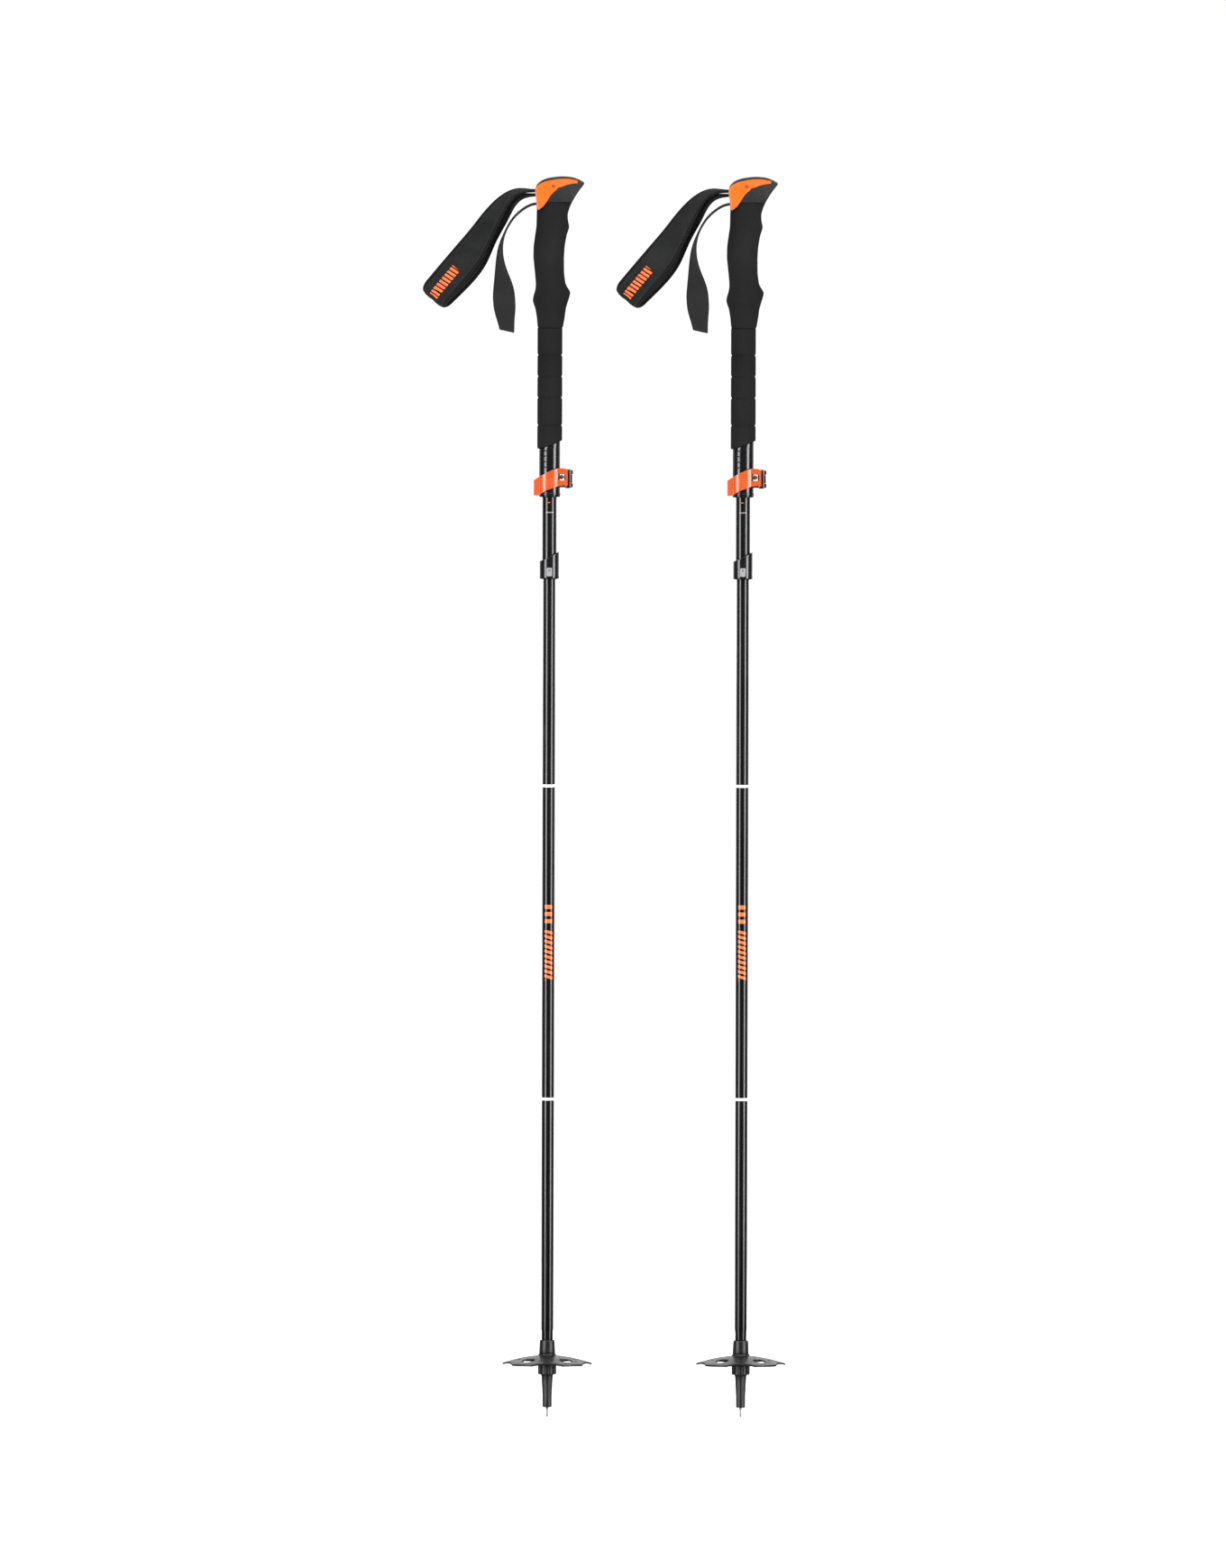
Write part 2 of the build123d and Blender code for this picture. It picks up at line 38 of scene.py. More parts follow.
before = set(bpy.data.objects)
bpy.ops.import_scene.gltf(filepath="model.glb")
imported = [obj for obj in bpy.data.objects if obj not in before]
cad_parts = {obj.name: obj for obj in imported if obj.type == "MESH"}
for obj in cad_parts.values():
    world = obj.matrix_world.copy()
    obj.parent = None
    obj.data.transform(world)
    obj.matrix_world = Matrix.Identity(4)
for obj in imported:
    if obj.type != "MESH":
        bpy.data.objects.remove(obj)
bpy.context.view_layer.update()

POLES = {"left": 0.0, "right": 0.190}
HAND_HEIGHT = 1150.0
SCENE = bpy.context.scene


# ---- curves through given values ----
def through(knots, values, at):
    """A smooth curve through the values at the knots, read at the places in at."""
    knots, values = np.asarray(knots, float), np.asarray(values, float)
    step, n = np.diff(knots), len(knots)
    system, known = np.zeros((n, n)), np.zeros(values.shape)
    system[0, 0] = system[-1, -1] = 1
    slope = (values[1:] - values[:-1]) / step.reshape(-1, *[1] * (values.ndim - 1))
    for i in range(1, n - 1):
        system[i, i - 1:i + 2] = step[i - 1], 2 * (step[i - 1] + step[i]), step[i]
        known[i] = 6 * (slope[i] - slope[i - 1])
    bend = np.linalg.solve(system, known)
    i = np.clip(np.searchsorted(knots, at, side="right") - 1, 0, n - 2)
    column = (-1, *[1] * (values.ndim - 1))
    a, b, h = (at - knots[i]).reshape(column), (knots[i + 1] - at).reshape(column), step[i].reshape(column)
    return (
        (bend[i + 1] * a**3 + bend[i] * b**3) / (6 * h)
        + (values[i + 1] / h - bend[i + 1] * h / 6) * a
        + (values[i] / h - bend[i] * h / 6) * b
    )


def softened(knots, values, at, width):
    """Straight lines between the knots, with every corner rounded over about that width."""
    step = at[1] - at[0]
    reach = int(3 * width / step) + 1
    kernel = np.exp(-0.5 * (np.arange(-reach, reach + 1) * step / width) ** 2)
    line = np.interp(at, knots, values)
    padded = np.concatenate([2 * line[0] - line[reach:0:-1], line, 2 * line[-1] - line[-2:-reach - 2:-1]])
    return np.convolve(padded, kernel / kernel.sum(), "valid")


def circle(count):
    return np.linspace(0, 2 * math.pi, count, endpoint=False)


def ring(radius, height, count=96, x=0.0, y=0.0):
    """A level ring of points. Radius and height may differ from point to point."""
    turn = circle(count)
    radius, height = np.broadcast_to(radius, count), np.broadcast_to(height, count)
    return np.stack([x + radius * np.cos(turn), y + radius * np.sin(turn), height], axis=1)


# ---- meshes ----
def skin(rings, loop=False, flip=False):
    """A closed surface over rings of equally many points, capped at both ends unless it is a loop."""
    rings = np.asarray(rings, float)
    rows, count, _ = rings.shape
    points = rings.reshape(-1, 3)
    index = np.arange(rows * count).reshape(rows, count)
    if loop:
        index = np.concatenate([index, index[:1]])
    a, b = index[:-1], index[1:]
    faces = np.stack([a, np.roll(a, -1, 1), np.roll(b, -1, 1), b], axis=-1).reshape(-1, 4).tolist()
    if not loop:
        points = np.concatenate([points, rings[0].mean(0)[None], rings[-1].mean(0)[None]])
        low, high = rows * count, rows * count + 1
        for k in range(count):
            following = (k + 1) % count
            faces.append([low, index[0][following], index[0][k]])
            faces.append([high, index[-1][k], index[-1][following]])
    if flip:
        faces = [f[::-1] for f in faces]
    return points, faces


def joined(*surfaces):
    """Several surfaces as one."""
    points, faces, base = [], [], 0
    for p, f in surfaces:
        points.append(np.asarray(p, float))
        faces += [[int(i) + base for i in face] for face in f]
        base += len(p)
    return np.concatenate(points), faces


def mesh_of(name, surface, smooth=True):
    points, faces = surface
    mesh = bpy.data.meshes.new(name)
    mesh.from_pydata(np.asarray(points, float).tolist(), [], [[int(i) for i in f] for f in faces])
    mesh.update()
    if smooth:
        mesh.shade_smooth()
    return mesh


def sleeve(profile, count=96):
    """A hollow solid of revolution: the section is a closed loop of (radius, height) points."""
    return skin([ring(r, h, count) for r, h in profile], loop=True)


def pipe(outer, inner, low, high, edge=0.25):
    """The section of a tube with small rounded edges, for sleeve()."""
    return [
        (outer - edge, low), (outer - 0.3 * edge, low + 0.3 * edge), (outer, low + edge),
        *[(outer, h) for h in np.linspace(low + edge + 0.05, high - edge - 0.05, 10)],
        (outer, high - edge), (outer - 0.3 * edge, high - 0.3 * edge), (outer - edge, high),
        (inner + 0.1, high), (inner, high - 0.1), (inner, low + 0.1), (inner + 0.1, low),
    ]


def tube_along(path, radius, count=12, taper=None):
    """A round bead along a line of points."""
    path = np.asarray(path, float)
    along = np.gradient(path, axis=0)
    along /= np.linalg.norm(along, axis=1)[:, None]
    side = np.cross(along, [0, 1, 0.01])
    side /= np.linalg.norm(side, axis=1)[:, None]
    up = np.cross(side, along)
    sizes = radius * (np.ones(len(path)) if taper is None else np.asarray(taper))
    turn = circle(count)
    rings = [
        p + size * (np.cos(turn)[:, None] * s + np.sin(turn)[:, None] * u)
        for p, s, u, size in zip(path, side, up, sizes)
    ]
    return skin(rings)


def cad_copy(node):
    """A copy of a left CAD node's mesh, in millimetres."""
    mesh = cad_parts["left_" + node].data.copy()
    mesh.materials.clear()
    mesh.transform(Matrix.Translation((0, 0, HAND_HEIGHT)) @ Matrix.Scale(1000, 4))
    return mesh


def surface_of(mesh):
    points = np.array([v.co for v in mesh.vertices], float)
    return points, [list(p.vertices) for p in mesh.polygons]


def shaped(mesh, *steps):
    """The mesh after a list of (modifier, settings)."""
    worker = bpy.data.objects.new("shaping", mesh)
    SCENE.collection.objects.link(worker)
    for kind, settings in steps:
        modifier = worker.modifiers.new(kind, kind)
        for key, value in settings.items():
            setattr(modifier, key, value)
    graph = bpy.context.evaluated_depsgraph_get()
    done = bpy.data.meshes.new_from_object(worker.evaluated_get(graph))
    bpy.data.objects.remove(worker)
    return done


def without(mesh, *cutters):
    """The mesh with other meshes cut out of it."""
    for cutter in cutters:
        tool = bpy.data.objects.new("cutter", cutter)
        SCENE.collection.objects.link(tool)
        mesh = shaped(mesh, ("BOOLEAN", {"object": tool, "operation": "DIFFERENCE", "solver": "EXACT"}))
        bpy.data.objects.remove(tool)
    return mesh


def moulded(mesh, voxel, rounds=4, factor=0.5):
    """The mesh as one even skin with softened edges, as a moulding has."""
    done = shaped(
        mesh,
        ("REMESH", {"mode": "VOXEL", "voxel_size": voxel, "use_smooth_shade": True}),
        ("SMOOTH", {"factor": factor, "iterations": rounds}),
    )
    done.shade_smooth()
    return done


def set_uv(mesh, name, values):
    """A UV map from one pair of numbers for each point of the mesh."""
    corners = np.zeros(len(mesh.loops), np.int32)
    mesh.loops.foreach_get("vertex_index", corners)
    layer = mesh.uv_layers.new(name=name)
    layer.uv.foreach_set("vector", np.asarray(values, np.float32)[corners].ravel())


def pair(name, mesh, body, paint, stands_for=(), bend=None, cloth=None):
    """The mesh as a piece on each pole. bend is (other body, start, end): when it is given, the piece's place
    is baked into its mesh and it is attached to no body; the other body, start and end are not used.
    """
    mesh.transform(Matrix.Scale(0.001, 4) @ Matrix.Translation((0, 0, -HAND_HEIGHT)))
    for one in paint if isinstance(paint, (list, tuple)) else [paint]:
        mesh.materials.append(one.material)
    made = []
    for side, x in POLES.items():
        piece = bpy.data.objects.new(f"{side}_{name}", mesh if side == "left" else mesh.copy())
        SCENE.collection.objects.link(piece)
        piece.location.x = x
        if bend:
            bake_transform(piece)
        else:
            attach(piece, f"{side}_{body}")
        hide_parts(*[f"{side}_{node}" for node in stands_for])
        if cloth:
            cloth(piece)
        made.append(piece)
    return made


# ---- materials ----
class Paint:
    """A procedural material, built up from short calls."""

    def __init__(self, name, rough, **inputs):
        self.material = bpy.data.materials.new(name)
        self.material.use_nodes = True
        self.tree = self.material.node_tree
        self.shader = self.tree.nodes["Principled BSDF"]
        self.place = self.tree.nodes.new("ShaderNodeTexCoord").outputs["Object"]
        self.normal = None
        self.set(Roughness=rough, **inputs)

    def set(self, **inputs):
        for name, value in inputs.items():
            self.join(value, self.shader.inputs[name.replace("_", " ")])

    def join(self, value, socket):
        if isinstance(value, bpy.types.NodeSocket):
            self.tree.links.new(value, socket)
        else:
            rgb = isinstance(value, tuple) and len(value) == 3 and socket.type == "RGBA"
            socket.default_value = (*value, 1) if rgb else value

    def add(self, kind, settings=None, out=0, **inputs):
        node = self.tree.nodes.new("ShaderNode" + kind)
        for key, value in (settings or {}).items():
            setattr(node, key, value)
        for name, value in inputs.items():
            self.join(value, node.inputs[name.replace("_", " ")])
        return node.outputs[out]

    def math(self, operation, a, b=0.0, c=0.0):
        node = self.tree.nodes.new("ShaderNodeMath")
        node.operation = operation
        for socket, value in zip(node.inputs, (a, b, c)):
            self.join(value, socket)
        return node.outputs[0]

    def parts(self, vector):
        node = self.tree.nodes.new("ShaderNodeSeparateXYZ")
        self.join(vector, node.inputs[0])
        return node.outputs

    def uv(self, name):
        return self.parts(self.add("UVMap", {"uv_map": name}))

    def inside(self, value, low, high):
        above, below = self.math("GREATER_THAN", value, low), self.math("LESS_THAN", value, high)
        return self.math("MULTIPLY", above, below)

    def stripes(self, value, pitch, share):
        """1 on the first share of every pitch, and 0 on the rest."""
        return self.math("LESS_THAN", self.math("FRACT", self.math("DIVIDE", value, pitch)), share)

    def every(self, *masks):
        made = masks[0]
        for mask in masks[1:]:
            made = self.math("MULTIPLY", made, mask)
        return made

    def either(self, *masks):
        made = masks[0]
        for mask in masks[1:]:
            made = self.math("MAXIMUM", made, mask)
        return made

    def noise(self, scale, detail=3.0, stretch=None):
        place = self.place
        if stretch:
            place = self.add("Mapping", Vector=place, Scale=stretch)
        return self.add("TexNoise", Vector=place, Scale=scale, Detail=detail)

    def cells(self, scale, feature="F1"):
        return self.add("TexVoronoi", {"feature": feature}, Vector=self.place, Scale=scale)

    def between(self, value, low, high, start=0.0, end=1.0):
        """The value from start to end, mapped to low to high."""
        return self.add(
            "MapRange", Value=value, From_Min=start, From_Max=end, To_Min=low, To_Max=high
        )

    def mix(self, share, a, b):
        node = self.tree.nodes.new("ShaderNodeMix")
        node.data_type = "RGBA"
        for place, value in ((0, share), (6, a), (7, b)):
            self.join(value, node.inputs[place])
        return node.outputs[2]

    def color(self, value):
        self.set(Base_Color=value)
        return value

    def bump(self, height, distance, strength=1.0):
        node = self.tree.nodes.new("ShaderNodeBump")
        self.join(height, node.inputs["Height"])
        node.inputs["Distance"].default_value = distance
        node.inputs["Strength"].default_value = strength
        if self.normal:
            self.join(self.normal, node.inputs["Normal"])
        self.normal = node.outputs[0]
        self.set(Normal=self.normal)


def foam_paint():
    paint = Paint("eva_foam", 0.9, Specular_IOR_Level=0.13)
    pores = paint.cells(1500)
    # Painted shade: the pores are sunk by a bump and also painted near black, as the shade inside them.
    pits_and_painted_shade = paint.between(pores, 0.0, 1.0, 0.05, 0.32)
    cloud = paint.between(paint.noise(22, 4), 0, 1, 0.3, 0.7)
    shade = paint.mix(cloud, (0.0062, 0.0062, 0.0065), (0.0092, 0.0092, 0.0092))
    # Painted shade: near black in the pores, the foam's own tone around them.
    paint.color(paint.mix(pits_and_painted_shade, (0.0025, 0.0025, 0.0025), shade))
    paint.bump(pits_and_painted_shade, 0.00015, 0.5)
    paint.bump(paint.noise(420, 5), 0.0003, 0.35)
    return paint


def plastic_paint(name, color, rough, grain=0.5, **inputs):
    """Moulded plastic: a fine spark-eroded grain, and a little unevenness in colour and gloss."""
    paint = Paint(name, rough, **inputs)
    dark = tuple(0.8 * c for c in color)
    paint.color(paint.mix(paint.between(paint.noise(45, 4), 0, 1, 0.3, 0.7), dark, color))
    paint.set(Roughness=paint.between(paint.noise(160, 4), rough - 0.06, rough + 0.08, 0.3, 0.7))
    paint.bump(paint.noise(2600, 2), 0.00008, grain)
    return paint


def tube_paint(name, marks=None):
    """Black anodised aluminium under a clear coat, drawn along its length."""
    paint = Paint(name, 0.3, Specular_IOR_Level=0.3, Coat_Weight=0.9, Coat_Roughness=0.1)
    drawn = paint.noise(900, 3, stretch=(1, 1, 0.015))
    base = paint.mix(paint.between(drawn, 0, 1, 0.3, 0.7), (0.0016, 0.0016, 0.0018), (0.0042, 0.0042, 0.0045))
    scuffs = paint.between(paint.noise(70, 6, stretch=(1, 1, 0.25)), 0, 1, 0.68, 0.74)
    base = paint.mix(scuffs, base, (0.009, 0.009, 0.009))
    if marks:
        for mask, color in marks(paint):
            base = paint.mix(mask, base, color)
            paint.bump(mask, 0.00003, 0.6)
    paint.color(base)
    paint.set(Roughness=paint.between(drawn, 0.26, 0.38, 0.3, 0.7))
    paint.bump(drawn, 0.00003, 0.12)
    return paint


def height_and_turn(paint):
    """The height above the tip in millimetres, and the place round the tube from its front in millimetres."""
    x, y, z = paint.parts(paint.place)
    turn = paint.math("ARCTAN2", x, paint.math("MULTIPLY", y, -1.0))
    return paint.math("ADD", paint.math("MULTIPLY", z, 1000.0), HAND_HEIGHT), turn


def shaft_marks(paint):
    """A plain printed panel: three short bars, and a column of ticks below them."""
    height, turn = height_and_turn(paint)
    bars = paint.every(
        paint.inside(height, 485.5, 504.0), paint.inside(turn, -0.62, 0.62),
        paint.stripes(paint.math("SUBTRACT", height, 485.5), 7.0, 0.55),
    )
    slant = paint.math("ADD", height, paint.math("MULTIPLY", turn, 1.6))
    ticks = paint.every(
        paint.inside(height, 429.5, 478.5), paint.inside(turn, -0.66, 0.72), paint.stripes(slant, 4.9, 0.56)
    )
    return [(paint.either(bars, ticks), (0.72, 0.12, 0.02))]


def scale_marks(paint):
    """The length scale: a tick every 10 mm, a longer one every 50 mm, on the sliding tube."""
    height, turn = height_and_turn(paint)
    above = paint.math("SUBTRACT", height, 889.0)
    fine = paint.every(paint.stripes(above, 10.0, 0.06), paint.inside(turn, -0.28, 0.1))
    coarse = paint.every(paint.stripes(above, 50.0, 0.02), paint.inside(turn, -0.55, 0.55))
    scale = paint.inside(height, 888.0, 1092.0)
    return [(paint.every(fine, scale), (0.66, 0.13, 0.03)), (paint.every(coarse, scale), (0.2, 0.17, 0.15))]


def metal_paint(name, color, rough, drawn=(1, 1, 1)):
    paint = Paint(name, rough, Metallic=1.0)
    lines = paint.noise(1400, 3, stretch=drawn)
    paint.color(paint.mix(lines, tuple(0.75 * c for c in color), color))
    paint.set(Roughness=paint.between(lines, rough - 0.06, rough + 0.12, 0.3, 0.7))
    paint.bump(lines, 0.00003, 0.3)
    return paint


def padding_paint():
    """Brushed knit over padding, with a row of stitches and a woven panel of plain orange bars."""
    paint = Paint("strap_knit", 0.95, Specular_IOR_Level=0.12, Sheen_Weight=0.03, Sheen_Roughness=0.5)
    across, along, _ = paint.uv("cloth")
    edge, _, _ = paint.uv("edge")
    course = paint.math("SINE", paint.math("MULTIPLY", along, 2 * math.pi / 0.85))
    wale = paint.math("SINE", paint.math("MULTIPLY", across, 2 * math.pi / 0.7))
    knit = paint.math("MULTIPLY", course, wale)
    cloud = paint.between(paint.noise(60, 5), 0, 1, 0.32, 0.68)
    shade = paint.mix(cloud, (0.0068, 0.007, 0.0072), (0.0118, 0.012, 0.0122))
    stitch = paint.every(paint.inside(edge, 3.35, 3.95), paint.stripes(along, 3.2, 0.66))
    shade = paint.mix(stitch, shade, (0.02, 0.02, 0.02))
    bars = paint.every(
        paint.inside(across, -4.2, 4.8), paint.inside(along, -7.5, 28.3),
        paint.stripes(paint.math("ADD", along, paint.math("MULTIPLY", across, 0.12)), 4.0, 0.6),
    )
    shade = paint.mix(bars, shade, (0.8, 0.12, 0.035))
    paint.bump(bars, 0.0002, 0.5)
    paint.color(shade)
    paint.bump(knit, 0.00012, 0.5)
    paint.bump(stitch, 0.0003, 0.8)
    paint.bump(paint.noise(260, 5), 0.0003, 0.3)
    return paint


def webbing_paint(name, color, pitch=1.1):
    """Flat woven webbing: ribs across it, in a herringbone of two columns, with painted shade in the grooves
    and a painted highlight on the ribs.
    """
    paint = Paint(name, 0.85, Specular_IOR_Level=0.18, Sheen_Weight=0.03, Sheen_Roughness=0.5)
    across, along, _ = paint.uv("cloth")
    column = paint.math("PINGPONG", across, 2.5)
    rib = paint.math("SINE", paint.math("MULTIPLY", paint.math("ADD", along, column), 2 * math.pi / pitch))
    warp = paint.math("SINE", paint.math("MULTIPLY", across, 2 * math.pi / 0.62))
    weave_relief_and_shading = paint.math("ADD", rib, paint.math("MULTIPLY", warp, 0.4))
    # Painted shade and highlight: the colour follows the ribs' relief, darker in the grooves and lighter on
    # the crests.
    light = tuple(1.5 * c for c in color)
    paint.color(paint.mix(paint.between(weave_relief_and_shading, 0, 1, -1.2, 1.2), color, light))
    paint.bump(weave_relief_and_shading, 0.00015, 0.6)
    paint.bump(paint.noise(350, 4), 0.0002, 0.25)
    return paint


def braid_paint():
    """The tension cord's braided sheath, with painted shade between the strands and a painted highlight on
    them.
    """
    paint = Paint("cord_braid", 0.8, Sheen_Weight=0.1)
    turn, along, _ = paint.uv("cloth")
    round_it, down_it = paint.math("MULTIPLY", turn, 6.0), paint.math("MULTIPLY", along, 3.2)
    one = paint.math("SINE", paint.math("ADD", round_it, down_it))
    two = paint.math("SINE", paint.math("SUBTRACT", round_it, down_it))
    braid = paint.math("MAXIMUM", one, two)
    # Painted shade and highlight: the colour follows the braid's relief, darker between the strands and
    # lighter on them.
    paint.color(paint.mix(paint.between(braid, 0, 1, -0.5, 1), (0.01, 0.01, 0.01), (0.05, 0.05, 0.05)))
    paint.bump(braid, 0.0002, 0.7)
    return paint


def head_paint():
    """The head's dark moulded plastic."""
    return plastic_paint("head_plastic", (0.0135, 0.0138, 0.0142), 0.46, 0.5, Specular_IOR_Level=0.36)


PAINTS = {
    "foam": foam_paint(),
    "head": head_paint(),
    "trim": plastic_paint("trim_orange", (0.54, 0.098, 0.003), 0.3, 0.3, Specular_IOR_Level=0.35),
    # The strap pin's end: the trim's orange, darkened to about half as painted shade for the hollow it sits
    # in.
    "pin": plastic_paint("pin_orange_with_painted_shade", (0.28, 0.045, 0.004), 0.4, 0.3, Specular_IOR_Level=0.35),
    "pad": plastic_paint("crown_rubber", (0.012, 0.012, 0.012), 0.7, 0.9),
    "clamp": plastic_paint(
        "clamp_plastic", (0.006, 0.006, 0.007), 0.2, 0.15, Coat_Weight=0.6, Coat_Roughness=0.12
    ),
    "lever": plastic_paint(
        "lever_orange", (0.46, 0.064, 0.01), 0.24, 0.25,
        Specular_IOR_Level=0.4, Coat_Weight=1.0, Coat_Roughness=0.09,
    ),
    "tube": tube_paint("tube_black"),
    "marked_tube": tube_paint("tube_marked", shaft_marks),
    "scale_tube": tube_paint("tube_scale", scale_marks),
    "bush": plastic_paint("bush_acetal", (0.6, 0.6, 0.57), 0.45),
    "steel": metal_paint("steel", (0.7, 0.7, 0.71), 0.28),
    "button": plastic_paint("button_nickel", (0.3, 0.3, 0.31), 0.3, 0.3, Metallic=0.3),
    "brass": metal_paint("brass", (0.76, 0.58, 0.28), 0.3),
    "spring": metal_paint("spring_steel", (0.5, 0.5, 0.51), 0.25, (1, 1, 0.05)),
    "carbide": metal_paint("carbide", (0.85, 0.85, 0.87), 0.42),
    "ring": plastic_paint("ring_white", (0.86, 0.86, 0.84), 0.4),
    "spigot": plastic_paint("spigot_plastic", (0.012, 0.012, 0.012), 0.45),
    "basket": plastic_paint("basket_plastic", (0.01, 0.01, 0.0105), 0.33, 0.35),
    "knit": padding_paint(),
    "binding": webbing_paint("binding_tape", (0.003, 0.003, 0.0032), 0.8),
    "web": webbing_paint("tail_webbing", (0.009, 0.009, 0.0095), 1.3),
    "braid": braid_paint(),
}


# ---- grip ----
FOAM_FORM = np.array([
    # height, rear reach, front reach, half depth
    (1070.9, 12.1, 12.7, 12.2), (1081.0, 13.0, 14.5, 13.0), (1090.0, 14.5, 15.6, 14.0),
    (1097.0, 17.2, 17.7, 15.0), (1102.5, 16.3, 19.4, 15.2), (1106.0, 15.0, 20.3, 14.8),
    (1110.0, 14.2, 17.3, 14.2), (1114.0, 14.0, 15.2, 13.8), (1124.0, 14.9, 13.8, 13.4),
    (1140.0, 16.6, 13.6, 13.7), (1151.0, 16.4, 14.3, 13.6), (1162.0, 14.9, 16.2, 13.3),
    (1170.0, 13.7, 18.9, 13.0), (1176.0, 13.5, 17.4, 12.9), (1183.0, 13.4, 17.1, 12.9),
    (1189.0, 13.2, 19.0, 13.0), (1195.0, 13.2, 21.6, 13.1),
])


def cylinder_across(x, height, radius, half, count=48):
    """A round bar along Y, as a mesh to cut with."""
    turn = circle(count)
    rings = [
        np.stack([x + radius * np.cos(turn), np.full(count, y), height + radius * np.sin(turn)], axis=1)
        for y in (half, -half)
    ]
    return mesh_of("bar", skin(rings), smooth=False)


def grip_foam():
    heights = np.arange(1070.9, 1195.01, 0.6)
    heights[-1] = 1195.0
    rear, front, depth = (softened(FOAM_FORM[:, 0], FOAM_FORM[:, k], heights, 1.5) for k in (1, 2, 3))
    turn = circle(96)
    rings = []
    for i, height in enumerate(heights):
        pull = 0.4 * max(0.0, 1 - (height - 1070.9) / 1.0) ** 2
        x = (front[i] - rear[i]) / 2 + ((front[i] + rear[i]) / 2 - pull) * np.cos(turn)
        rings.append(np.stack([x, (depth[i] - pull) * np.sin(turn), np.full(96, height)], axis=1))
    bore = [ring(8.0, h) for h in (1195.0, 1130.0, 1070.9)]
    body = mesh_of("foam", skin(rings + bore, loop=True))
    body = without(body, cylinder_across(-14.0, 1200.0, 8.7, 11.0))
    return moulded(body, 0.7, 3)


def grip_sleeve():
    """The lower foam: finger grooves, a rounded top and a slanted lower end."""
    straight = np.arange(1070.75, 966.0, -0.5)
    radius = np.full(len(straight), 12.2)
    for groove in (975.0, 1002.0, 1023.0, 1044.0):
        radius -= 0.85 * np.exp(-(((straight - groove) / 0.95) ** 2))
    radius -= 0.3 * np.clip(1 - (1070.75 - straight) / 1.0, 0, 1) ** 2
    rings = [ring(r, h) for r, h in zip(radius, straight)]
    end = 955.75 + 12.2 * np.cos(circle(96)) * math.tan(math.radians(18.4))
    for share in np.linspace(0, 1, 16)[1:]:
        pull = 0.9 * max(0.0, (share - 0.9) / 0.1) ** 2
        rings.append(ring(12.2 - pull, 966.0 + share * (end - 966.0)))
    inner_end = 955.75 + 8.0 * np.cos(circle(96)) * math.tan(math.radians(18.4))
    rings += [ring(8.0, inner_end), ring(8.0, 1000.0), ring(8.0, 1070.75)]
    return mesh_of("sleeve", skin(rings, loop=True, flip=True))


TRIM_EDGE = [
    (-11.9, 1187.8), (-7.2, 1191.6), (-0.4, 1201.7), (5.0, 1207.1), (11.7, 1210.8), (19.2, 1213.2),
    (26.6, 1214.2)
]
TRIM_REAR = [(-12.3, 1188.6), (-13.0, 1194.0), (-13.6, 1200.0), (-14.2, 1206.5), (-13.2, 1209.6)]
TRIM_CREST = [(-13.2, 1209.6), (-8.0, 1213.2), (0.2, 1215.6), (13.7, 1217.0), (26.4, 1215.2)]


def on_surface(tree, points, side, count, sink=0.15):
    """A smooth line through (x, height) points, laid on one side of a mesh."""
    points = np.asarray(points, float)
    gone = np.concatenate([[0], np.cumsum(np.linalg.norm(np.diff(points, axis=0), axis=1))])
    line, y = [], 12.0
    for x, height in through(gone, points, np.linspace(0, gone[-1], count)):
        hit = tree.ray_cast(Vector((x, side * 40, height)), Vector((0, -side, 0)))[0]
        y = abs(hit.y) if hit else y
        line.append((x, side * (y - sink), height))
    return line


def head_trim():
    """The orange trim, with a raised rim along its edges."""
    mesh = cad_copy("head_trim")
    tree = BVHTree.FromPolygons(*surface_of(mesh))
    beads = []
    for side in (-1, 1):
        for edge, radius in ((TRIM_EDGE, 0.75), (TRIM_REAR, 0.8), (TRIM_CREST, 0.6)):
            beads.append(tube_along(on_surface(tree, edge, side, 60), radius))
    return moulded(mesh_of("trim", joined(surface_of(mesh), *beads)), 0.3, 3)


def grip_head():
    """The dark head, with a field of small dots on its beak."""
    mesh = moulded(cad_copy("grip_head"), 0.34, 4)
    points = np.array([v.co for v in mesh.vertices], float)
    normals = np.array([v.normal for v in mesh.vertices], float)
    pitch = 1.7
    u, v = (points[:, 0] - 20.0) / pitch, (points[:, 2] - 1200.0) / (pitch * 0.866)
    row = np.floor(v)
    du, dv = (u + 0.5 * (row % 2)) % 1 - 0.5, (v - row - 0.5) * 0.866
    dots = np.clip(1 - (du**2 + dv**2) / 0.115, 0, 1) ** 0.5
    field = np.clip((points[:, 0] - 17.5 - 0.45 * (1216 - points[:, 2]) * 0.3) / 1.5, 0, 1)
    field *= np.clip((np.abs(normals[:, 1]) - 0.35) / 0.2, 0, 1)
    field *= np.clip((points[:, 2] - 1197.5) / 1.5, 0, 1)
    points += normals * (0.32 * dots * field)[:, None]
    mesh.vertices.foreach_set("co", points.astype(np.float32).ravel())
    mesh.update()
    return mesh


